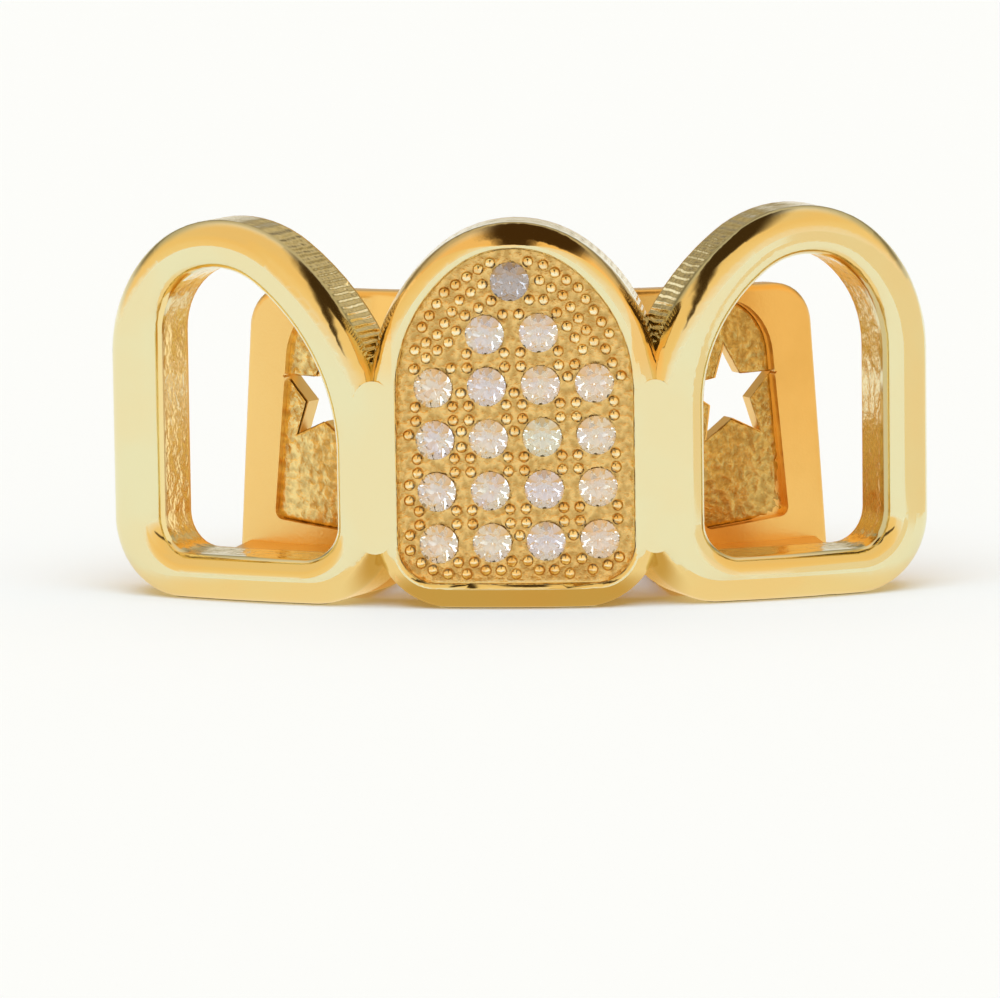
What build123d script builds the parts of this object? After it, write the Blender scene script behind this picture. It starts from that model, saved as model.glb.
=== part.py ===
"""Clip-on cover for three upper teeth, cast in one piece, with nineteen set stones.

It stands on its biting edges. X runs along the row of teeth, Y runs from the
lips to the tongue, and Z runs up to the gums. Millimetres throughout.
"""
import os
from math import asin, atan2, cos, degrees, hypot, radians, sin, sqrt, tan

from build123d import *

# The arch: every front face lies on one upright cylinder, whose axis is behind the teeth
arch_radius = 22.7
left_angle = 23.4         # from the middle of the cap to the middle of each ring, degrees
right_angle = 23.1
face_depth = 2.3          # front to back of a ring or of the cap's edge

# Tooth outlines, seen along each tooth's own middle line
cap_half_width = 4.47
ring_inner_half_width = 5.0    # on the side that runs into the cap
left_outer_half_width = 4.6
right_outer_half_width = 4.55
left_height = 11.95
cap_height = 12.0
right_height = 12.25
tip_radius = 3.74         # the round top of a tooth
tip_half_angle = 37.5     # degrees of that round top to each side
left_tip_shift = -0.55    # the rings are highest a little away from the middle
right_tip_shift = 0.35
corner_radius = 2.45      # the two biting corners
edge_round = 0.75         # the soft outer edge

# The web of metal that fills the valley between two teeth
web_overlap = 0.03        # how far it runs onto the flat of either tooth
web_bottom = 1.7
web_top = 7.1

# Windows of the two open teeth: how wide the band round each one is
left_outer_band = 1.85
left_inner_band = 1.6
right_inner_band = 1.95
right_outer_band = 1.52
top_band = 1.5
window_bottom = 1.42
window_corner_radius = 1.1
window_round = 0.55

# The closed middle tooth
rim_width = 0.82
rim_edge_round = 0.65     # its soft outer edge
rim_inner_round = 0.2     # its edge beside the stone bed
bed_depth = 0.35          # the stone bed lies this far behind the rim
bed_corner_radius = 1.2
cap_wall = 1.4            # from the crest of the rim to the hollow behind it
hollow_inset = 1.5        # solid edge round that hollow
hollow_corner_radius = 1.2

# Stones, and the beads raised from the bed to hold them
stone_rows = [4, 4, 4, 4, 2, 1]
stone_diameter = 1.2
stone_clearance = 0.03
stone_sink = 0.05         # the tables lie this far behind the crest of the rim
column_pitch = 1.69
row_pitch = 1.62
first_row_height = 2.08
pattern_lean = 1.4        # the stones' pattern leans to the left, degrees
azure_diameter = 0.45     # the drill hole that lets light in behind each stone
bead_radius = 0.18
bead_rise = 0.03          # how far a bead's middle stands in front of the bed
bead_gap = 0.06           # the least metal-free space between two beads
bead_margin = 0.24        # from a bead's middle to the edge of the bed
bead_slack = 0.001        # a bead this much too near a stone still counts as clear
bead_step = 0.12          # how finely room for more beads is looked for

# Cut of a stone: heights and the table as shares of its diameter, slopes in degrees
crown_share = 0.15
girdle_share = 0.03
table_share = 0.56
star_slope = 22.0
upper_girdle_slope = 40.0
pavilion_slope = 41.0
lower_girdle_slope = 42.5
main_facets = 8

# The tongue side
plate_radius = 15.0       # its front face, about the same axis as the arch
plate_thickness = 1.0
plate_half_angle = 38.6
plate_height = 9.1
plate_end_lean = 4.5      # each end runs outward to the foot, degrees
plate_corner_radius = 1.4
plate_edge_round = 0.25
panel_angle = 26.2        # from the middle panel to the ones beside it, degrees
panel_lean = 6.0          # their feet point outward, degrees
panel_half_width = 1.53
panel_bottom = 1.4
panel_top = 8.65
panel_tip_radius = 1.2
panel_foot_radius = 0.3
panel_depth = 0.35
star_radius = 1.7
star_waist = 0.45         # inner corners of the star, as a share of its radius
star_height = 5.57
star_points = 5

# The biting shelf that joins front and back, with an open slot between two teeth
shelf_thickness = 0.8
shelf_start = 1.2         # it starts inside the rings, this far behind their faces
shelf_end_half_width = 2.2
shelf_slot_width = 1.7

# The most that a rounded edge may take of the metal it is on
inner_limit = 0.37
outer_limit = 0.5
rim_inner_limit = 0.2
rim_outer_limit = 0.77
plate_limit = 0.4

# Lengths that only the modelling needs
reach = 40.0              # longer than the whole part, for cuts that go right through
clear = 5.0               # how far in front of the metal a cut starts
same_radius = 1e-6


def about_axis(angle):
    """Turn a piece about the upright axis of the arch, counted in degrees."""
    return Pos(0, arch_radius, 0) * Rot(0, 0, angle) * Pos(0, -arch_radius, 0)


def on_arch(radius, angle, height=0.0):
    """A point at a radius from the arch's axis, angle degrees from the middle."""
    turn = radians(angle)
    return Vector(radius * sin(turn), arch_radius - radius * cos(turn), height)


def shell(outer_radius, inner_radius):
    """An upright tube between two radii about the axis of the arch."""
    return Pos(0, arch_radius, 0) * (Cylinder(outer_radius, reach) - Cylinder(inner_radius, reach))


def arch_outline(left, right, bottom, top, tip, corner, shift=0.0):
    """A tooth shape on the XZ plane: flat foot, upright sides and a five-arc top.

    left and right are the half widths, and shift moves the highest point.
    """
    share = sin(radians(tip_half_angle))
    left_radius = (left + shift - tip * share) / (1 - share)
    right_radius = (right - shift - tip * share) / (1 - share)
    right_spring = top - tip - (right_radius - tip) * cos(radians(tip_half_angle))
    shoulder_turn = 90 - tip_half_angle
    with BuildSketch(Plane.XZ) as sketch:
        with BuildLine():
            foot = Line((corner - left, bottom), (right - corner, bottom))
            right_corner = JernArc(foot @ 1, (1, 0), corner, 90)
            right_side = Line(right_corner @ 1, (right, right_spring))
            right_shoulder = JernArc(right_side @ 1, (0, 1), right_radius, shoulder_turn)
            crown = JernArc(right_shoulder @ 1, right_shoulder % 1, tip, 2 * tip_half_angle)
            left_shoulder = JernArc(crown @ 1, crown % 1, left_radius, shoulder_turn)
            left_side = Line(left_shoulder @ 1, (-left, bottom + corner))
            JernArc(left_side @ 1, (0, -1), corner, 90)
        make_face()
    return sketch.sketch


def prism(outline):
    """Run an outline on the XZ plane through the whole part along Y."""
    return extrude(outline, amount=reach / 2, both=True)


def front_face(tooth):
    """The face of a tooth that lies on the arch's own cylinder."""
    curved = tooth.faces().filter_by(GeomType.CYLINDER)
    return curved.filter_by(lambda face: abs(face.radius - arch_radius) < same_radius).sort_by(Axis.Y)[0]


def ring(angle, left, right, left_band, right_band, height, shift):
    """An open tooth. left and right are its half widths, and the bands are round its window."""
    outline = arch_outline(left, right, 0, height, tip_radius, corner_radius, shift)
    window = arch_outline(
        left - left_band, right - right_band, window_bottom, height - top_band,
        tip_radius - top_band, window_corner_radius, shift,
    )
    tooth = (prism(outline) - prism(window)) & front_shell
    tooth = fillet(front_face(tooth).inner_wires()[0].edges(), min(window_round, inner_limit * least_band))
    tooth = fillet(front_face(tooth).outer_wire().edges(), ring_outer_round)
    return about_axis(angle) * tooth


def cap():
    """The closed middle tooth with its sunk stone bed and the hollow behind it."""
    inner_round = min(rim_inner_round, rim_inner_limit * rim_width)
    outline = arch_outline(cap_half_width, cap_half_width, 0, cap_height, tip_radius, corner_radius)
    tooth = prism(outline) & front_shell
    tooth = fillet(front_face(tooth).outer_wire().edges(), cap_outer_round)
    tooth -= prism(bed_outline()) & shell(arch_radius + clear, arch_radius - bed_depth)
    tooth = fillet(front_face(tooth).inner_wires()[0].edges(), inner_round)
    inset = cap_half_width - hollow_inset
    hollow = arch_outline(
        inset, inset, hollow_inset, cap_height - hollow_inset,
        tip_radius - hollow_inset, hollow_corner_radius,
    )
    return tooth - (prism(hollow) & shell(arch_radius - cap_wall, plate_radius))


def bed_outline():
    """The stone bed, which follows the cap's outline at the width of the rim."""
    half_width = cap_half_width - rim_width
    return arch_outline(
        half_width, half_width, rim_width, cap_height - rim_width,
        tip_radius - rim_width, bed_corner_radius,
    )


def joint_angle(angle):
    """Where the cap meets the ring at this angle: the middle of their overlap, in degrees."""
    side = 1 if angle > 0 else -1
    overhang = degrees(asin(ring_inner_half_width / arch_radius) - asin(cap_half_width / arch_radius))
    return (angle - side * overhang) / 2


def web(angle):
    """The bar that makes the front flush, from the flat of the cap to the flat of a ring."""
    side = 1 if angle > 0 else -1
    cap_flat = cap_half_width - cap_outer_round - web_overlap
    ring_flat = ring_inner_half_width - ring_outer_round - web_overlap
    cap_edge = degrees(asin(cap_flat / arch_radius))
    ring_edge = abs(angle) - degrees(asin(ring_flat / arch_radius))
    width = radians(ring_edge - cap_edge) * arch_radius
    slot = SlotOverall(web_top - web_bottom, width, rotation=90)
    bar = prism(Plane.XZ * Pos(0, (web_bottom + web_top) / 2) * slot) & front_shell
    return about_axis(side * (cap_edge + ring_edge) / 2) * bar


def sector(outer_radius, outer_left, outer_right, inner_radius, inner_left, inner_right):
    """A curved strip on the floor between two arcs about the arch's axis."""
    outer = [on_arch(outer_radius, angle) for angle in (outer_left, 0, outer_right)]
    inner = [on_arch(inner_radius, angle) for angle in (inner_right, 0, inner_left)]
    ends = Line(outer[2], inner[0]), Line(inner[2], outer[0])
    return make_face([ThreePointArc(*outer), ends[0], ThreePointArc(*inner), ends[1]])


def star_outline():
    """A plain star with one point up."""
    corners = []
    for index in range(2 * star_points):
        radius = star_radius if index % 2 == 0 else star_radius * star_waist
        turn = radians(90 + index * 180 / star_points)
        corners.append((radius * cos(turn), radius * sin(turn)))
    return make_face(Polyline(corners, close=True))


def leaning(side, lean, height):
    """Tilt a piece on the middle line of a tooth, its foot away from the middle of the part."""
    return Pos(0, 0, height) * Rot(0, -side * lean, 0) * Pos(0, 0, -height)


def back_plate():
    """The tongue side: a curved plate with a sunk panel and a star behind each tooth."""
    back_radius = plate_radius - plate_thickness
    long_ends = (-2 * plate_half_angle, 2 * plate_half_angle)
    plate = extrude(sector(plate_radius, *long_ends, back_radius, *long_ends), plate_height)
    for side in (-1, 1):
        beyond = Pos(side * reach / 2, 0, 0) * Box(reach, 2 * arch_radius, reach)
        beyond = leaning(side, plate_end_lean, plate_height / 2) * beyond
        plate -= about_axis(side * plate_half_angle) * beyond
    top_face = plate.faces().sort_by(Axis.Z)[-1]
    plate = fillet(top_face.edges().filter_by(GeomType.LINE), plate_corner_radius)
    top_face = plate.faces().sort_by(Axis.Z)[-1]
    long_edges = top_face.edges().filter_by(GeomType.CIRCLE)
    plate = fillet(long_edges, min(plate_edge_round, plate_limit * plate_thickness))
    panel = prism(arch_outline(
        panel_half_width, panel_half_width, panel_bottom, panel_top, panel_tip_radius, panel_foot_radius,
    )) & shell(arch_radius - face_depth, plate_radius - panel_depth)
    star = prism(Plane.XZ * Pos(0, star_height) * star_outline())
    for side in (-1, 0, 1):
        plate -= about_axis(side * panel_angle) * leaning(side, panel_lean, star_height) * (panel + star)
    return plate


def shelf():
    """The floor of the channel, rounded off under each tooth and open between two teeth."""
    front_radius = arch_radius - shelf_start
    overhang = degrees(asin(shelf_end_half_width / front_radius))
    middle_radius = plate_radius - plate_thickness / 2
    floor = extrude(sector(
        front_radius, -left_angle - overhang, right_angle + overhang,
        middle_radius, -plate_half_angle, plate_half_angle,
    ), shelf_thickness)
    feet = Part()
    for angle, left, right in (
        (-left_angle, left_outer_half_width + corner_radius, ring_inner_half_width),
        (0, cap_half_width, cap_half_width),
        (right_angle, ring_inner_half_width, right_outer_half_width + corner_radius),
    ):
        foot = arch_outline(left, right, 0, 2 * cap_height, tip_radius, corner_radius)
        feet += about_axis(angle) * prism(foot)
    floor &= feet
    slot = prism(Plane.XZ * Rectangle(shelf_slot_width, 2 * cap_height)) & shell(arch_radius, plate_radius)
    for angle in (-left_angle, right_angle):
        floor -= about_axis(joint_angle(angle)) * slot
    return floor


def bed_half_width(height, inset):
    """Half the width of the stone bed at a height, drawn in by an inset all round."""
    half_width = cap_half_width - rim_width - inset
    bottom = rim_width + inset
    top = cap_height - rim_width - inset
    tip = tip_radius - rim_width - inset
    corner = bed_corner_radius - inset
    share = sin(radians(tip_half_angle))
    shoulder = (half_width - tip * share) / (1 - share)
    spring = top - tip - (shoulder - tip) * cos(radians(tip_half_angle))
    if not bottom < height < top:
        return 0.0
    if height < bottom + corner:
        return half_width - corner + sqrt(corner ** 2 - (bottom + corner - height) ** 2)
    if height < spring:
        return half_width
    if height < top - tip + tip * cos(radians(tip_half_angle)):
        return half_width - shoulder + sqrt(shoulder ** 2 - (height - spring) ** 2)
    return sqrt(tip ** 2 - (height - top + tip) ** 2)


def stone_places():
    """Across and up of every stone on the bed, row by row from the biting edge."""
    lean = radians(pattern_lean)
    middle = first_row_height + row_pitch * (len(stone_rows) - 1) / 2
    places = []
    for row, count in enumerate(stone_rows):
        up = first_row_height + row * row_pitch - middle
        for column in range(count):
            across = (column - (count - 1) / 2) * column_pitch
            leaning_across = across * cos(lean) - up * sin(lean)
            leaning_height = middle + across * sin(lean) + up * cos(lean)
            places.append((row, column, leaning_across, leaning_height))
    return places


def bead_places(stones):
    """Four beads at each stone's corners, then as many more as the bare gold takes."""
    reach_out = stone_diameter / 2 + 2 * stone_clearance + bead_radius
    spacing = 2 * bead_radius + bead_gap
    beads = []

    def add(across, height):
        inside = abs(across) < bed_half_width(height, bead_margin)
        off_stones = all(hypot(across - x, height - z) > reach_out - bead_slack for _, _, x, z in stones)
        off_beads = all(hypot(across - x, height - z) >= spacing for x, z in beads)
        if inside and off_stones and off_beads:
            beads.append((across, height))

    for _, _, x, z in stones:
        for corner in range(4):
            turn = radians(45 + 90 * corner + pattern_lean)
            add(x + reach_out * cos(turn), z + reach_out * sin(turn))
    steps_up = int(cap_height / bead_step)
    steps_across = int(cap_half_width / bead_step)
    for step_up in range(steps_up, 0, -1):
        for step_across in range(steps_across + 1):
            for hand in (-1, 1):
                add(hand * step_across * bead_step, step_up * bead_step)
    return beads


def on_face(across, height, depth=0.0):
    """A place on the middle tooth, with Z turned to point out of its face."""
    return about_axis(degrees(across / arch_radius)) * Pos(0, depth, height) * Rot(90, 0, 0)


def brilliant():
    """A round cut stone with its table up and its girdle's top edge on the XY plane."""
    radius = stone_diameter / 2
    crown = crown_share * stone_diameter
    girdle = girdle_share * stone_diameter
    table = table_share * radius
    pavilion = radius * tan(radians(pavilion_slope))
    height = crown + girdle + pavilion
    stone = Pos(0, 0, crown - height / 2) * Cylinder(radius, height)
    half_turn = 180 / main_facets
    crown_slope = degrees(atan2(crown, radius - table))
    cuts = [
        (main_facets, 0, crown_slope, radius, 0),
        (2 * main_facets, half_turn / 2, upper_girdle_slope, radius, 0),
        (main_facets, half_turn, star_slope, table * cos(radians(half_turn)), crown),
        (main_facets, 0, 180 - pavilion_slope, radius, -girdle),
        (2 * main_facets, half_turn / 2, 180 - lower_girdle_slope, radius, -girdle),
    ]
    for count, first, slope, cut_radius, cut_height in cuts:
        tilt = radians(slope)
        for index in range(count):
            turn = radians(first + index * 360 / count)
            touch = (cut_radius * cos(turn), cut_radius * sin(turn), cut_height)
            outward = (sin(tilt) * cos(turn), sin(tilt) * sin(turn), cos(tilt))
            stone = split(stone, Plane(touch, z_dir=outward), keep=Keep.BOTTOM)
    return stone


def seat():
    """What is cut from the gold for one stone: its bore, its cone and the light hole."""
    bore_radius = stone_diameter / 2 + stone_clearance
    girdle = (girdle_share + crown_share) * stone_diameter + stone_sink + stone_clearance
    cone_depth = (bore_radius - azure_diameter / 2) * tan(radians(pavilion_slope))
    with BuildPart() as cutter:
        with BuildSketch(Plane.XZ):
            with BuildLine():
                Polyline(
                    (0, clear), (bore_radius, clear), (bore_radius, -girdle),
                    (azure_diameter / 2, -girdle - cone_depth), (azure_diameter / 2, -face_depth),
                    (0, -face_depth), close=True,
                )
            make_face()
        revolve(axis=Axis.Z)
    return cutter.part


front_shell = shell(arch_radius, arch_radius - face_depth)
least_band = min(left_outer_band, left_inner_band, right_inner_band, right_outer_band, top_band)
ring_outer_round = min(edge_round, outer_limit * least_band)
cap_outer_round = min(rim_edge_round, rim_outer_limit * rim_width)
stones = stone_places()
left_ring = ring(
    -left_angle, left_outer_half_width, ring_inner_half_width,
    left_outer_band, left_inner_band, left_height, left_tip_shift,
)
right_ring = ring(
    right_angle, ring_inner_half_width, right_outer_half_width,
    right_inner_band, right_outer_band, right_height, right_tip_shift,
)
frame = cap() + [left_ring, right_ring, web(-left_angle), web(right_angle), shelf(), back_plate()]
frame += [on_face(x, z, bed_depth - bead_rise) * Sphere(bead_radius) for x, z in bead_places(stones)]
frame -= [on_face(x, z) * seat() for _, _, x, z in stones]

gem = Pos(0, 0, -stone_sink - crown_share * stone_diameter) * brilliant()
pieces = {"grill_frame": frame}
for row, column, x, z in stones:
    pieces[f"stone_{row + 1}_{column + 1}"] = on_face(x, z) * gem

# The origin goes to the middle of the foot of the whole part
box = Compound(children=[Compound(piece.wrapped) for piece in pieces.values()]).bounding_box()
to_origin = Pos(-box.center().X, -box.center().Y, -box.min.Z)
os.makedirs("parts", exist_ok=True)
for name, piece in pieces.items():
    export_step(to_origin * piece, f"parts/{name}.step")
    print(name, round(piece.volume, 3))
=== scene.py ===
# %% [markdown]
# # A clip-on cover for three upper front teeth
#
# The real object is cast in one piece of brass and plated with gold: two open tooth
# rings beside a closed cap, a biting shelf under them and a curved plate on the
# tongue side. Nineteen small clear stones sit in the cap, held by raised beads.
#
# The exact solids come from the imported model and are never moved. Everything below
# works in metres in the same frame: X runs along the teeth to the right, Y from the
# lips to the tongue, and Z up to the gums. What this script adds is the camera and
# the studio, the materials, and the grain on the floors of the sunk panels.

import bpy
import numpy as np
from mathutils import Matrix, Vector


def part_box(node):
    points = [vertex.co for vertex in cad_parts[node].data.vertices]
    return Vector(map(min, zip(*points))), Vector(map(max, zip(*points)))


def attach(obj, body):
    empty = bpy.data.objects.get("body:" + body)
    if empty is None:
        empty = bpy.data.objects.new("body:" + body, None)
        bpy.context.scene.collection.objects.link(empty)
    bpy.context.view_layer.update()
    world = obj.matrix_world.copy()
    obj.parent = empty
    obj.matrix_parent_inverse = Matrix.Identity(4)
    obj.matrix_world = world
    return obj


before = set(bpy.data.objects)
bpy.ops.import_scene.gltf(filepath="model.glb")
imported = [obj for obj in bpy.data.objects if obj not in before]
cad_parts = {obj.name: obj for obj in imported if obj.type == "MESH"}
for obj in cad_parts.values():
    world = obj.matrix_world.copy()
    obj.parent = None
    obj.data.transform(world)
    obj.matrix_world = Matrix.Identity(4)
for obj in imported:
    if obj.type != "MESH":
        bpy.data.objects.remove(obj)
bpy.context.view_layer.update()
MM = 0.001
cast_low, cast_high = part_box("grill_frame")
front_y = cast_low.y
scene = bpy.context.scene
print("casting in mm", [round(value / MM, 2) for value in (*cast_low, *cast_high)])

# %% [markdown]
# ## The camera
#
# It stands a little to the right of the middle, about eight degrees above the table,
# and is turned by less than a degree. A long lens from 22 cm away keeps the side
# teeth nearly as large as the middle one. The lens follows from the scale wanted at
# the front of the cap, in pixels per mm.

# %% Camera
CAMERA_AZIMUTH = 2.978
CAMERA_ELEVATION = 8.226
CAMERA_ROLL = 0.774
CAMERA_DISTANCE = 220 * MM
PIXELS_PER_MM = 32.318
FRAME_WIDTH = 1000
SENSOR_WIDTH = 36.0
AIM_RIGHT = -0.442 * MM
AIM_UP = 3.437 * MM
NEAREST_SEEN = 0.01
FARTHEST_SEEN = 20

turn, rise, roll = np.radians([CAMERA_AZIMUTH, CAMERA_ELEVATION, CAMERA_ROLL])
level_right = Vector((np.cos(turn), np.sin(turn), 0))
backward = Vector((np.sin(turn) * np.cos(rise), -np.cos(turn) * np.cos(rise), np.sin(rise)))
level_up = backward.cross(level_right)
camera_right = level_right * np.cos(roll) - level_up * np.sin(roll)
camera_up = level_right * np.sin(roll) + level_up * np.cos(roll)
front_foot = Vector((0, front_y, 0))
camera_place = front_foot + backward * CAMERA_DISTANCE
aim = front_foot + camera_right * AIM_RIGHT + camera_up * AIM_UP
camera_back = (camera_place - aim).normalized()
camera_right = (camera_right - camera_back * camera_right.dot(camera_back)).normalized()
camera_up = camera_back.cross(camera_right)

camera_data = bpy.data.cameras.new("camera")
camera_data.sensor_fit = "HORIZONTAL"
camera_data.sensor_width = SENSOR_WIDTH
camera_data.lens = SENSOR_WIDTH * PIXELS_PER_MM / FRAME_WIDTH * (camera_place - aim).length / MM
camera_data.clip_start = NEAREST_SEEN
camera_data.clip_end = FARTHEST_SEEN
camera = bpy.data.objects.new("camera", camera_data)
camera.matrix_world = Matrix.Translation(camera_place) @ Matrix(
    (camera_right, camera_up, camera_back)).transposed().to_4x4()
scene.collection.objects.link(camera)
scene.camera = camera
scene.view_settings.view_transform = "Standard"
print("lens", round(camera_data.lens, 1), "mm")

# %% [markdown]
# ## Helpers
#
# One function turns lists of corners and faces into an object whose place is in its
# mesh. One closes a grid of points that goes once round with four-sided faces. The
# rest write shader nodes in a short form, so that a material reads as a few lines of
# arithmetic. A limit is often given as two numbers: where a smooth step starts and
# where it is complete.


# %% Mesh helpers
def mesh_object(name, points, faces):
    """An object at the origin with the given corners and four-sided faces."""
    mesh = bpy.data.meshes.new(name)
    points, faces = np.asarray(points, dtype=float), np.asarray(faces, dtype=int)
    mesh.from_pydata(points.tolist(), [], faces.tolist())
    mesh.update()
    made = bpy.data.objects.new(name, mesh)
    scene.collection.objects.link(made)
    return made


def band_faces(rows, columns):
    """Faces between closed rings of points numbered ring by ring."""
    row, column = np.meshgrid(np.arange(rows - 1), np.arange(columns), indexing="ij")
    right = (column + 1) % columns
    corners = [row * columns + column, row * columns + right,
               (row + 1) * columns + right, (row + 1) * columns + column]
    return np.stack(corners, axis=-1).reshape(-1, 4)


# %% Shader helpers
class Nodes:
    """Short forms for the nodes of one node tree. A value is a number or an output."""

    def __init__(self, tree):
        self.tree = tree

    def put(self, socket, value):
        """Give a socket a number, a colour or another node's output."""
        if isinstance(value, bpy.types.NodeSocket):
            self.tree.links.new(value, socket)
        elif isinstance(value, tuple) and len(value) == 3 and socket.type == "RGBA":
            socket.default_value = (*value, 1)
        else:
            socket.default_value = value

    def add(self, kind, **inputs):
        """A node, with values for its sockets given by name."""
        made = self.tree.nodes.new(kind)
        for name, value in inputs.items():
            self.put(made.inputs[name.replace("_", " ")], value)
        return made

    def position(self, kind="Object"):
        """The coordinates of a point: in one output, and as outputs X, Y and Z."""
        place = self.add("ShaderNodeTexCoord").outputs[kind]
        return place, self.add("ShaderNodeSeparateXYZ", Vector=place).outputs

    def math(self, operation, *values):
        """One sum, product or other operation on numbers."""
        made = self.tree.nodes.new("ShaderNodeMath")
        made.operation = operation
        for socket, value in zip(made.inputs, values):
            self.put(socket, value)
        return made.outputs["Value"]

    def product(self, first, *others):
        """All values multiplied. For masks from 0 to 1, the part that they share."""
        return self.math("MULTIPLY", first, self.product(*others)) if others else first

    def length(self, first, second):
        """The length of a line with these two sides."""
        squares = self.product(first, first), self.product(second, second)
        return self.math("SQRT", self.math("ADD", *squares))

    def step(self, value, low, high, start=0.0, end=1.0):
        """Goes smoothly from start, at or below low, to end, at or above high."""
        made = self.tree.nodes.new("ShaderNodeMapRange")
        made.interpolation_type = "SMOOTHSTEP"
        limits = {"From Min": low, "From Max": high, "To Min": start, "To Max": end}
        for name, number in limits.items():
            made.inputs[name].default_value = number
        self.put(made.inputs["Value"], value)
        return made.outputs["Result"]

    def fall(self, value, low, high):
        """Goes smoothly from 1, at or below low, to 0, at or above high."""
        return self.step(value, low, high, 1.0, 0.0)

    def ramp(self, value, stops):
        """Blends colours smoothly along a value. A stop is a place and a colour."""
        made = self.tree.nodes.new("ShaderNodeValToRGB")
        made.color_ramp.interpolation = "EASE"
        while len(made.color_ramp.elements) < len(stops):
            made.color_ramp.elements.new(0.5)
        for element, (place, colour) in zip(made.color_ramp.elements, stops):
            element.position = place
            element.color = (*colour, 1)
        self.put(made.inputs["Fac"], value)
        return made.outputs["Color"]

    def blend(self, factor, first, second):
        """Mixes two colours, all first at 0 and all second at 1."""
        made = self.tree.nodes.new("ShaderNodeMix")
        made.data_type = "RGBA"
        colours = [socket for socket in made.inputs if socket.type == "RGBA"]
        self.put(made.inputs["Factor"], factor)
        self.put(colours[0], first)
        self.put(colours[1], second)
        return next(socket for socket in made.outputs if socket.type == "RGBA")

    def noise(self, place, lumps_per_mm, detail=3.0):
        """Cloudy noise from 0 to 1 at a place in the object's own coordinates."""
        made = self.add("ShaderNodeTexNoise", Scale=lumps_per_mm / MM, Detail=detail)
        self.put(made.inputs["Vector"], place)
        return made.outputs["Fac"]

    def mottle(self, noise, first, second, low=0.35, high=0.65):
        """Two colours in cloudy patches, as the noise has them."""
        return self.blend(self.step(noise, low, high), first, second)

    def bump(self, height, strength, distance, under=None):
        """Tilts the normal as if the surface rose by height times distance."""
        made = self.add("ShaderNodeBump", Distance=distance, Strength=strength, Height=height)
        if under is not None:
            self.put(made.inputs["Normal"], under)
        return made.outputs["Normal"]


def new_material(name):
    """A material with a Principled shader, and its nodes in short form."""
    made = bpy.data.materials.new(name)
    made.use_nodes = True
    return made, made.node_tree.nodes["Principled BSDF"], Nodes(made.node_tree)


# %% [markdown]
# ## The studio
#
# Polished metal has no look of its own: it shows the room. The cover stands on white
# paper, so everything that points forward or down shows pale paper. The light above
# the front is warm, which gives the tops of the teeth their orange bands. It comes
# lower down on the left, and fades to a plain grey behind. Dark cards close above the
# middle tooth, where a photographer's camera arm would be, give the shoulders and the
# top of the cap their dark brown bands. Warm patches on the paper give the lower rims
# their orange, and two bright cards stand between the teeth and light the walls of
# the windows. A warm card far on the right makes that side a little deeper in colour.
# All of these are only there for reflections: no view shows them, and they throw no
# shadow. A soft sun that the metal doesn't show brings the paper up to white.

# %% Paper
PAPER_HALF = 1.5
PAPER_SHADE = (0.84, 0.86, 0.88)
PAPER_ROUGHNESS = 0.9
paper_floor = mesh_object("floor", [
    (-PAPER_HALF, -PAPER_HALF, 0), (PAPER_HALF, -PAPER_HALF, 0),
    (PAPER_HALF, PAPER_HALF, 0), (-PAPER_HALF, PAPER_HALF, 0)], [(0, 1, 2, 3)])
paper, shader, nodes = new_material("pale_paper")
nodes.put(shader.inputs["Base Color"], PAPER_SHADE)
nodes.put(shader.inputs["Roughness"], PAPER_ROUGHNESS)
nodes.put(shader.inputs["Specular IOR Level"], 0.0)
paper_floor.data.materials.append(paper)

# %% Sky
# A stop's place is the height of a direction: 0 is level, 1 is straight up.
WARM_SKY = [
    (0.00, (1.00, 0.97, 0.93)),
    (0.14, (1.02, 0.84, 0.64)),
    (0.40, (1.03, 0.73, 0.36)),
    (0.77, (1.00, 0.67, 0.29)),
    (1.00, (0.95, 0.66, 0.32)),
]
PLAIN_SKY = [
    (0.00, (1.00, 1.02, 1.04)),
    (0.12, (0.80, 0.77, 0.70)),
    (0.30, (0.24, 0.20, 0.12)),
    (0.47, (0.55, 0.47, 0.32)),
    (1.00, (0.95, 0.85, 0.75)),
]
PLAIN_FROM = (0.1, 0.7)         # how far back a direction goes where the sky turns plain
LEFT_SKY = (-0.50, -0.20)       # how far left it goes where the warm sky comes lower
LEFT_SKY_FOOT = (0.0, 0.12)     # the level sky stays pale there too
LEFT_SKY_DROP = 0.32

world = bpy.data.worlds.new("studio")
world.use_nodes = True
scene.world = world
nodes = Nodes(world.node_tree)
_, facing = nodes.position("Generated")
leftward = nodes.fall(facing["X"], *LEFT_SKY)
raised = nodes.product(leftward, nodes.step(facing["Z"], *LEFT_SKY_FOOT, 0.0, LEFT_SKY_DROP))
warm = nodes.ramp(nodes.math("ADD", facing["Z"], raised), WARM_SKY)
plain = nodes.ramp(facing["Z"], PLAIN_SKY)
behind = nodes.step(facing["Y"], *PLAIN_FROM)
nodes.put(world.node_tree.nodes["Background"].inputs["Color"], nodes.blend(behind, warm, plain))


# %% Cards seen only in reflections
SIDE_FADE_POWER = 2.0         # a card fades slowly towards its sides
END_FADE_POWER = 8.0          # and only close to its ends


def glowing_card(name, colour, corners):
    """A card that glows in one colour and is seen in reflections only. The corners are
    in mm. Gives the glow and the material's nodes, for a card that fades away."""
    points = [[value * MM for value in corner] for corner in corners]
    card = mesh_object(name, points, [(0, 1, 2, 3)])
    felt, shader, nodes = new_material(name)
    felt.node_tree.nodes.remove(shader)
    glow = nodes.add("ShaderNodeEmission", Color=colour)
    nodes.put(felt.node_tree.nodes["Material Output"].inputs["Surface"], glow.outputs["Emission"])
    card.data.materials.append(felt)
    card.visible_camera = False
    card.visible_diffuse = False
    card.visible_transmission = False
    card.visible_shadow = False
    return glow, nodes


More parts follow.
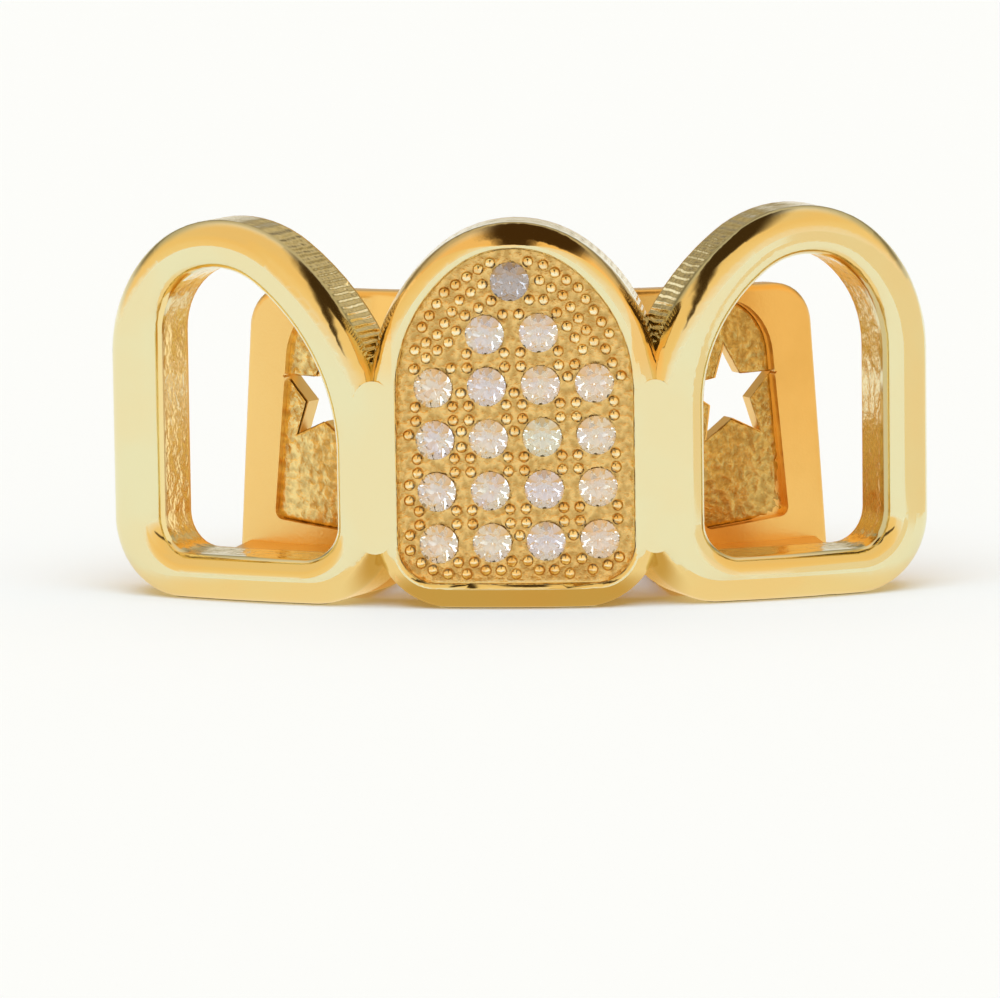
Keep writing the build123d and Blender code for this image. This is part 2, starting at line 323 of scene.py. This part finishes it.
def level_card(name, colour, height, x, y, soft_from):
    """A level card between two values of X and of Y. It fades away from its long middle
    line to its sides, and close to its ends. soft_from is where on the way that begins."""
    (left, right), (near, far) = x, y
    glow, nodes = glowing_card(name, colour, [
        (left, near, height), (right, near, height), (right, far, height), (left, far, height)])
    _, spot = nodes.position()
    sideways = nodes.math("SUBTRACT", spot["X"], (left + right) / 2 * MM)
    sideways = nodes.math("ABSOLUTE", nodes.math("DIVIDE", sideways, (right - left) / 2 * MM))
    along = nodes.math("SUBTRACT", spot["Y"], (near + far) / 2 * MM)
    along = nodes.math("ABSOLUTE", nodes.math("DIVIDE", along, (far - near) / 2 * MM))
    outward = nodes.math("ADD",
        nodes.math("POWER", sideways, SIDE_FADE_POWER), nodes.math("POWER", along, END_FADE_POWER))
    mixed = nodes.add("ShaderNodeMixShader", Fac=nodes.step(outward, soft_from, 1.0))
    nodes.put(mixed.inputs[1], glow.outputs["Emission"])
    nodes.put(mixed.inputs[2], nodes.add("ShaderNodeBsdfTransparent").outputs["BSDF"])
    nodes.put(nodes.tree.nodes["Material Output"].inputs["Surface"], mixed.outputs["Shader"])


def standing_card(name, colour, x, y, z):
    """A plain card across X, between two values of Y and of Z."""
    (near, far), (low, high) = y, z
    glowing_card(name, colour, [(x, near, low), (x, far, low), (x, far, high), (x, near, high)])


CARD_BROWN = (0.055, 0.028, 0.008)
PATCH_ORANGE = (0.66, 0.40, 0.12)
PATCH_PALE = (1.0, 0.78, 0.48)
BRIGHT_LEFT = (1.05, 0.92, 0.70)
BRIGHT_RIGHT = (0.74, 0.66, 0.52)
WARM_RIGHT = (0.95, 0.79, 0.56)
level_card("dark_card_long", CARD_BROWN, height=17.0, x=(-2.9, 3.3), y=(-42, 3.5), soft_from=0.1)
level_card("dark_card_wide", CARD_BROWN, height=17.2, x=(-4.2, 9.8), y=(-9.5, 3.4), soft_from=0.25)
level_card("orange_patch", PATCH_ORANGE, height=0.04, x=(-5.5, 5.5), y=(-9.5, 6), soft_from=0.4)
level_card("pale_patch", PATCH_PALE, height=0.02, x=(-15, 15), y=(-9.5, 6), soft_from=0.4)
standing_card("bright_card_left", BRIGHT_LEFT, x=-5.2, y=(-3.2, 2.3), z=(0.9, 10))
standing_card("bright_card_right", BRIGHT_RIGHT, x=5.2, y=(-3.2, 2.3), z=(0.9, 10))
standing_card("warm_card", WARM_RIGHT, x=27, y=(-24, 14), z=(0, 13))

# %% Soft sun
SUN_STRENGTH = 2.5
SUN_SPREAD = 60
SUN_COLOUR = (0.38, 0.68, 1.0)
SUN_TILT = 25
sun_data = bpy.data.lights.new("soft_sun", "SUN")
sun_data.energy = SUN_STRENGTH
sun_data.angle = np.radians(SUN_SPREAD)
sun_data.color = SUN_COLOUR
sun = bpy.data.objects.new("soft_sun", sun_data)
sun.visible_glossy = False
sun.rotation_euler = (np.radians(SUN_TILT), 0, 0)
scene.collection.objects.link(sun)

# %% [markdown]
# ## The gold
#
# A caster polishes what the lips show and leaves the rest as it comes from the
# barrel. So one gold has four zones, told apart by how deep a point lies behind the
# arch that the polished fronts touch: those fronts, the walls behind their soft edge,
# the inside, and the rough cast floor of the stone bed with its beads. The walls are
# painted paler than the fronts, painted light for what they catch from the front.
# The inside is painted deeper and more orange, a painted reflection of the other gold
# that it sees. Slow noise varies the plating, and fine noise is the grain. The beads
# between the stones are mottled, as a setter's tool leaves them. The shoulders
# between the teeth keep the ribs of a file, and the walls of the windows are slightly
# lumpy. Buffing also rounds the narrow rim round the stones a little more than the
# cast shape says, most at its top, so its normals lean outward there. That top is
# painted a deeper orange, a painted reflection. The left half of the inside is
# painted a little paler than the right, as painted light.

# %% Where the gold changes
# Depths behind the arch that the polished fronts touch
ARCH_RADIUS = 22.7 * MM
ARCH_AXIS_Y = front_y + ARCH_RADIUS
FACE_DEPTH = 2.3 * MM
BED_DEPTH = 0.35 * MM
WALL_DEPTH = (0.70 * MM, 0.95 * MM)
INSIDE_DEPTH = (FACE_DEPTH - 0.10 * MM, FACE_DEPTH - 0.05 * MM)
BEADS_FRONT = (0.10 * MM, 0.14 * MM)
BEADS_BACK = (0.45 * MM, 0.50 * MM)
BED_FLOOR = (BED_DEPTH - 0.05 * MM, BED_DEPTH - 0.02 * MM)

# The cap's bed and its rim's round top. A reach is measured from the top's middle.
CROWN_MIDDLE = 8.2 * MM       # the height of that middle
CROWN_SPREAD = 0.19           # the bed's edge reaches farther at its sides by this share
CROWN_FALL = 0.34             # how much the polished rim falls off outward
CROWN_DEPTH = (0.30 * MM, 0.70 * MM)
CROWN_SIDE = (4.55 * MM, 4.75 * MM)
CROWN_FOOT = (6.8 * MM, 7.8 * MM)
BED_TOP_REACH = (3.02 * MM, 3.08 * MM)
BED_TOP_START = (CROWN_MIDDLE, CROWN_MIDDLE + 0.1 * MM)
BED_SIDE = (3.68 * MM, 3.74 * MM)
BED_FOOT = (0.8 * MM, 0.9 * MM)

# The shoulders between the teeth lie above a sloping line, outside the cap's hollow.
SHOULDER_SLOPE = 1.107
SHOULDER_START = 1.6 * MM
SHOULDER_LINE = (SHOULDER_START - 0.15 * MM, SHOULDER_START + 0.15 * MM)
SHOULDER_FOOT = (6.3 * MM, 6.7 * MM)
CAP_HOLLOW_REACH = (3.3 * MM, 3.5 * MM)

# The windows' walls lie inside a rounded box about each window.
WINDOW_MIDDLE = (8.4 * MM, 5.8 * MM)
WINDOW_HALF = (3.3 * MM, 5.1 * MM)
WINDOW_SQUARENESS = 4.0       # 2 would make it an ellipse
WINDOW_EDGE = (0.95, 1.1)
# Where the inside is painted paler on the left, as painted light.
PAINTED_LIGHT_LEFT_HALF = (-4 * MM, 0)

gold, shader, nodes = new_material("gold_plate")
place, spot = nodes.position()
up = spot["Z"]
across = nodes.math("ABSOLUTE", spot["X"])
inward = nodes.math("SUBTRACT", spot["Y"], ARCH_AXIS_Y)
depth = nodes.math("SUBTRACT", ARCH_RADIUS, nodes.length(across, inward))
wall = nodes.step(depth, *WALL_DEPTH)
inside = nodes.step(depth, *INSIDE_DEPTH)
side = nodes.math("SUBTRACT", wall, inside)

crown_up = nodes.math("SUBTRACT", up, CROWN_MIDDLE)
from_crown_middle = nodes.length(across, crown_up)
within = nodes.math("SUBTRACT", from_crown_middle, nodes.product(across, CROWN_SPREAD))
within = nodes.math("MAXIMUM", nodes.fall(within, *BED_TOP_REACH), nodes.fall(up, *BED_TOP_START))
within = nodes.product(within, nodes.fall(across, *BED_SIDE), nodes.step(up, *BED_FOOT))
beads = nodes.product(within, nodes.step(depth, *BEADS_FRONT), nodes.fall(depth, *BEADS_BACK))
bed = nodes.product(beads, nodes.step(depth, *BED_FLOOR))
crown = nodes.product(
    nodes.fall(depth, *CROWN_DEPTH), nodes.fall(across, *CROWN_SIDE), nodes.step(up, *CROWN_FOOT))
crown = nodes.product(crown, nodes.math("SUBTRACT", 1.0, within))

above = nodes.math("SUBTRACT", up, nodes.product(across, SHOULDER_SLOPE))
ribbed = nodes.product(nodes.step(above, *SHOULDER_LINE),
    nodes.step(from_crown_middle, *CAP_HOLLOW_REACH), nodes.step(up, *SHOULDER_FOOT))
ribbed = nodes.product(ribbed, side)
window_x = nodes.math("DIVIDE", nodes.math("SUBTRACT", across, WINDOW_MIDDLE[0]), WINDOW_HALF[0])
window_z = nodes.math("DIVIDE", nodes.math("SUBTRACT", up, WINDOW_MIDDLE[1]), WINDOW_HALF[1])
window = nodes.math("ADD",
    nodes.math("POWER", nodes.math("ABSOLUTE", window_x), WINDOW_SQUARENESS),
    nodes.math("POWER", nodes.math("ABSOLUTE", window_z), WINDOW_SQUARENESS))
lumpy = nodes.product(nodes.math("SUBTRACT", side, ribbed), nodes.fall(window, *WINDOW_EDGE))

# %% The gold's colour, shine and relief
POLISHED = (0.84, 0.785, 0.48), (0.86, 0.76, 0.44)
# The top of the rim round the stones is painted a deeper orange: a painted reflection.
RIM_PAINTED_REFLECTION = (0.93, 0.70, 0.32)
RIM_PAINTED_REFLECTION_SHARE = 0.9
# The walls' colour is paler than the fronts': painted light for what they catch from the front.
# Their satin roughness is real.
SATIN_PAINTED_LIGHT = (1.0, 0.88, 0.52), (0.93, 0.78, 0.40)
# The inside is painted deeper and more orange: a painted reflection of the other gold that it
# faces.
INSIDE_PAINTED_REFLECTION = (0.93, 0.60, 0.19), (0.88, 0.56, 0.17)
# On the left the inside is painted paler: painted light.
INSIDE_PAINTED_LIGHT_LEFT = (0.91, 0.635, 0.235)
BEADED = (0.84, 0.60, 0.26), (0.98, 0.88, 0.58)
CAST = (0.55, 0.35, 0.11), (0.84, 0.58, 0.22)
POLISHED_ROUGHNESS = (0.085, 0.125)
SIDE_ROUGHER = 0.08
INSIDE_ROUGHER = 0.22
BED_ROUGHER = 0.08
CLOUD = (0.35, 4)             # a noise has some lumps per mm and some detail
GRAIN = (9, 3)
CAST_GRAIN = (4.5, 5)
SWELLS = (2.2, 2)
NUGGETS = (1.7, 3)
CLOUD_RANGE = (0.3, 0.7)
RIBS_SCALE = 1.6 / MM
RIBS_WAVER = 1.5

cloud = nodes.noise(place, *CLOUD)
grain = nodes.noise(place, *GRAIN)
cast_grain = nodes.noise(place, *CAST_GRAIN)
swells = nodes.noise(place, *SWELLS)
nuggets = nodes.noise(place, *NUGGETS)
ribs = nodes.add("ShaderNodeTexWave", Scale=RIBS_SCALE, Distortion=RIBS_WAVER, Detail=2.0)
ribs.bands_direction = "Z"
nodes.put(ribs.inputs["Vector"], place)

# The fronts' own gold, with the painted orange reflection on the rim's top.
fronts_with_painted_rim = nodes.blend(nodes.product(crown, RIM_PAINTED_REFLECTION_SHARE), nodes.mottle(cloud, *POLISHED), RIM_PAINTED_REFLECTION)
# The inside: a painted reflection, painted a little paler on the left as painted light.
inside_painted_reflection = nodes.blend(nodes.step(spot["X"], *PAINTED_LIGHT_LEFT_HALF), INSIDE_PAINTED_LIGHT_LEFT, nodes.mottle(cloud, *INSIDE_PAINTED_REFLECTION))
# The walls: grain, in a paler colour that is painted light.
colour = nodes.blend(wall, fronts_with_painted_rim, nodes.mottle(grain, *SATIN_PAINTED_LIGHT))
colour = nodes.blend(inside, colour, inside_painted_reflection)
colour = nodes.blend(beads, colour, nodes.mottle(nuggets, *BEADED, 0.40, 0.60))
colour = nodes.blend(bed, colour, nodes.mottle(cast_grain, *CAST))
roughness = nodes.step(cloud, *CLOUD_RANGE, *POLISHED_ROUGHNESS)
for zone, more in ((side, SIDE_ROUGHER), (inside, INSIDE_ROUGHER), (bed, BED_ROUGHER)):
    roughness = nodes.math("ADD", roughness, nodes.product(zone, more))

# What rises, in which zone, how strongly, and by how many mm.
relief = [
    (grain, wall, 0.35, 0.02),
    (ribs.outputs["Fac"], ribbed, 0.65, 0.06),
    (swells, lumpy, 0.5, 0.10),
    (nodes.product(from_crown_middle, -CROWN_FALL / MM), crown, 1.0, 1.0),
    (cast_grain, bed, 0.8, 0.08),
]
normal = None
for height, zone, strength, rise_mm in relief:
    normal = nodes.bump(height, nodes.product(zone, strength), rise_mm * MM, normal)
nodes.put(shader.inputs["Base Color"], colour)
nodes.put(shader.inputs["Metallic"], 1.0)
nodes.put(shader.inputs["Roughness"], roughness)
nodes.put(shader.inputs["Normal"], normal)

# %% Cast gold material for the sunk panels
# The grain's two colours on the left and on the right. The paler left and darker right are painted
# light and shade.
CAST_GRAIN_LOW_PAINTED_SIDES = (0.62, 0.45, 0.17), (0.49, 0.32, 0.09)      # on the left, on the right
CAST_GRAIN_HIGH_PAINTED_SIDES = (0.93, 0.73, 0.31), (0.74, 0.52, 0.17)
PAINTED_SIDES_LEFT_TO_RIGHT = (-4 * MM, 4 * MM)
CAST_ROUGHNESS = 0.24
cast_gold, shader, nodes = new_material("cast_gold")
place, spot = nodes.position()
cast_grain = nodes.noise(place, *CAST_GRAIN)
# Painted light and shade from left to right.
painted_side_rightward = nodes.step(spot["X"], *PAINTED_SIDES_LEFT_TO_RIGHT)
low_grain_painted_side, high_grain_painted_side = nodes.blend(painted_side_rightward, *CAST_GRAIN_LOW_PAINTED_SIDES), nodes.blend(painted_side_rightward, *CAST_GRAIN_HIGH_PAINTED_SIDES)
nodes.put(shader.inputs["Base Color"], nodes.mottle(cast_grain, low_grain_painted_side, high_grain_painted_side))
nodes.put(shader.inputs["Metallic"], 1.0)
nodes.put(shader.inputs["Roughness"], CAST_ROUGHNESS)
nodes.put(shader.inputs["Normal"], nodes.bump(cast_grain, 0.6, 0.06 * MM))

# %% [markdown]
# ## The stones
#
# Cubic zirconia bends light about as strongly as diamond, so a clear glass with a
# high index shows the gold seat through its facets. The stones show faint rose,
# lilac and green glints, and the one at the top is darker. Slow noise gives each
# stone its own tint, a painted glint in rose, lilac or green, a little darker than
# clear glass, and the top stone a darker tint still.

# %% Stone material
ZIRCONIA_INDEX = 2.15
# Painted glints: rose, lilac and green tints in the stones' colour, a little darker than clear
# glass.
PAINTED_GLINT_TINTS = [
    (0.30, (0.80, 0.64, 0.50)),
    (0.45, (0.80, 0.69, 0.52)),
    (0.55, (0.72, 0.63, 0.64)),
    (0.70, (0.74, 0.70, 0.54)),
]
PAINTED_GLINT_NOISE = (0.55, 1)
# The top stone is tinted darker.
TOP_STONE_DARKER_TINT = (0.42, 0.36, 0.34)
TOP_STONE_FROM = (9.2 * MM, 9.4 * MM)
zirconia, shader, nodes = new_material("clear_stone")
place, spot = nodes.position()
painted_glint_tint = nodes.ramp(nodes.noise(place, *PAINTED_GLINT_NOISE), PAINTED_GLINT_TINTS)
painted_glint_tint = nodes.blend(nodes.step(spot["Z"], *TOP_STONE_FROM), painted_glint_tint, TOP_STONE_DARKER_TINT)
nodes.put(shader.inputs["Base Color"], painted_glint_tint)
nodes.put(shader.inputs["Roughness"], 0.0)
nodes.put(shader.inputs["IOR"], ZIRCONIA_INDEX)
nodes.put(shader.inputs["Transmission Weight"], 1.0)

for name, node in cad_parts.items():
    for material_slot in node.material_slots:
        material_slot.material = zirconia if name.startswith("stone") else gold
print("stones", sum(name.startswith("stone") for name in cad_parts))

# %% [markdown]
# ## The grain of the sunk panels
#
# On the tongue side the plate has three shallow panels with a star cut through each.
# Their floors keep the lumpy skin of the casting, because a polishing wheel can't
# reach them. Each floor gets a thin lumpy sheet. Seen from the middle of its star, a
# point of the sheet is some share of the way from the star's outline to the panel's,
# in a direction that goes once round. So the sheet is a closed band with a star hole.

# %% Panel outline and star outline
PANEL_HALF_WIDTH = 1.53 * MM
PANEL_BOTTOM = 1.4 * MM
PANEL_TOP = 8.65 * MM
PANEL_TIP_RADIUS = 1.2 * MM
PANEL_TIP_ANGLE = np.radians(37.5)
PANEL_EDGE_STEPS = 60
STAR_RADIUS = 1.7 * MM
STAR_WAIST = 0.45
STAR_HEIGHT = 5.57 * MM
STAR_POINTS = 5
STAR_EDGE_STEPS = 24


def reach_of(outline, directions):
    """How far an outline round the origin is in each direction, by interpolation."""
    angles = np.arctan2(outline[:, 1], outline[:, 0])
    order = np.argsort(angles)
    return np.interp(directions, angles[order], np.hypot(*outline[order].T), period=2 * np.pi)


def panel_outline(inset):
    """Points on a panel's edge about the middle of its star: a foot, two sides, and a
    top of three arcs that run into each other smoothly."""
    half, top, foot = PANEL_HALF_WIDTH - inset, PANEL_TOP - inset, PANEL_BOTTOM + inset
    tip = PANEL_TIP_RADIUS - inset
    share = np.sin(PANEL_TIP_ANGLE)
    shoulder = (half - tip * share) / (1 - share)
    spring = top - tip - (shoulder - tip) * np.cos(PANEL_TIP_ANGLE)
    step = np.linspace(0, 1, PANEL_EDGE_STEPS)
    still = np.ones(PANEL_EDGE_STEPS)
    low = np.pi / 2 - PANEL_TIP_ANGLE
    shoulder_x = half - shoulder + shoulder * np.cos(low * step)
    right = np.stack([shoulder_x, spring + shoulder * np.sin(low * step)], 1)
    crown_angle = low + 2 * PANEL_TIP_ANGLE * step
    crown = np.stack([tip * np.cos(crown_angle), top - tip + tip * np.sin(crown_angle)], 1)
    side = np.stack([half * still, foot + (spring - foot) * step], 1)
    bottom = np.stack([-half + 2 * half * step, foot * still], 1)
    mirror = (-1, 1)
    outline = np.concatenate([
        side[1:-1], right, crown[1:-1], right[::-1] * mirror, side[1:-1] * mirror, bottom])
    return outline - (0, STAR_HEIGHT)


def star_outline(margin):
    """Points on the star's edge about its middle, one point up, a margin larger."""
    corner = np.arange(2 * STAR_POINTS + 1)
    turn = np.pi / 2 + corner * np.pi / STAR_POINTS
    reach = np.where(corner % 2 == 0, STAR_RADIUS, STAR_RADIUS * STAR_WAIST) + margin
    corners = np.stack([reach * np.cos(turn), reach * np.sin(turn)], 1)
    step = np.linspace(0, 1, STAR_EDGE_STEPS, endpoint=False)[None, :, None]
    return (corners[:-1, None] * (1 - step) + corners[1:, None] * step).reshape(-1, 2)


# %% Lumpy sheets
PANEL_RADIUS = 14.65 * MM
PANEL_ANGLE = 26.2
PANEL_LEAN = 6.0
SHEET_MARGIN = 0.02 * MM
SHEET_FADE = 0.08 * MM        # the lumps die out this close to the sheet's edges
SHEET_THICKNESS = 0.03 * MM
LUMP_HEIGHT = 0.055 * MM
LUMP_SIZE = 0.16 * MM
LUMP_OCTAVES = ((1, 0.65), (2, 0.35))
LUMP_SEED = 7
LATTICE = 128
ROUND_STEPS = 300
OUT_STEPS = 30


def lumps(across, height, seed):
    """Smooth random lumps from 0 to 1: values on a square lattice, blended by a smooth
    step, at two sizes."""
    total = np.zeros_like(across)
    for octave, weight in LUMP_OCTAVES:
        lattice = np.random.default_rng(seed + octave).random((LATTICE, LATTICE))
        x, y = (value / LUMP_SIZE * octave + LATTICE / 2 for value in (across, height))
        column, row = np.floor(x).astype(int), np.floor(y).astype(int)
        part_x, part_y = x - column, y - row
        part_x, part_y = part_x ** 2 * (3 - 2 * part_x), part_y ** 2 * (3 - 2 * part_y)
        here, beside = column % LATTICE, (column + 1) % LATTICE
        below, above = row % LATTICE, (row + 1) % LATTICE
        low = lattice[below, here] * (1 - part_x) + lattice[below, beside] * part_x
        high = lattice[above, here] * (1 - part_x) + lattice[above, beside] * part_x
        total += weight * (low * (1 - part_y) + high * part_y)
    return total


def lumpy_sheet(name, side):
    """The floor of one panel: a band from its star to its edge, laid on the plate's
    cylinder and raised by the lumps. side is -1, 0 or 1 from left to right."""
    around = np.linspace(0, 2 * np.pi, ROUND_STEPS, endpoint=False)
    out = np.linspace(0, 1, OUT_STEPS)[:, None]
    inner = reach_of(star_outline(SHEET_MARGIN), around)
    outer = np.maximum(reach_of(panel_outline(SHEET_MARGIN), around), inner + SHEET_MARGIN)
    reach = inner + (outer - inner) * out
    flat_x, flat_z = reach * np.cos(around), reach * np.sin(around)
    lean = np.radians(PANEL_LEAN) * side
    x = flat_x * np.cos(lean) - flat_z * np.sin(lean)
    z = flat_x * np.sin(lean) + flat_z * np.cos(lean) + STAR_HEIGHT
    fade = np.clip(np.minimum(reach - inner, outer - reach) / SHEET_FADE, 0, 1)
    raised = LUMP_HEIGHT * fade * lumps(x, z, LUMP_SEED + side)
    distance = PANEL_RADIUS + SHEET_THICKNESS / 2 + raised
    depth = np.sqrt(distance ** 2 - x ** 2)
    angle = np.radians(PANEL_ANGLE * side)
    points = np.stack([
        x * np.cos(angle) + depth * np.sin(angle),
        ARCH_AXIS_Y + x * np.sin(angle) - depth * np.cos(angle), z], axis=-1)
    sheet = mesh_object(name, points.reshape(-1, 3), band_faces(OUT_STEPS, ROUND_STEPS))
    sheet.data.polygons.foreach_set("use_smooth", np.ones(len(sheet.data.polygons), dtype=bool))
    back = sheet.modifiers.new("thickness", "SOLIDIFY")
    back.thickness = SHEET_THICKNESS
    back.offset = -1
    sheet.data.materials.append(cast_gold)
    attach(sheet, "root")
    return sheet


sheets = [lumpy_sheet("panel_grain_left", -1), lumpy_sheet("panel_grain_middle", 0),
          lumpy_sheet("panel_grain_right", 1)]
print("panel grain faces", [len(sheet.data.polygons) for sheet in sheets])
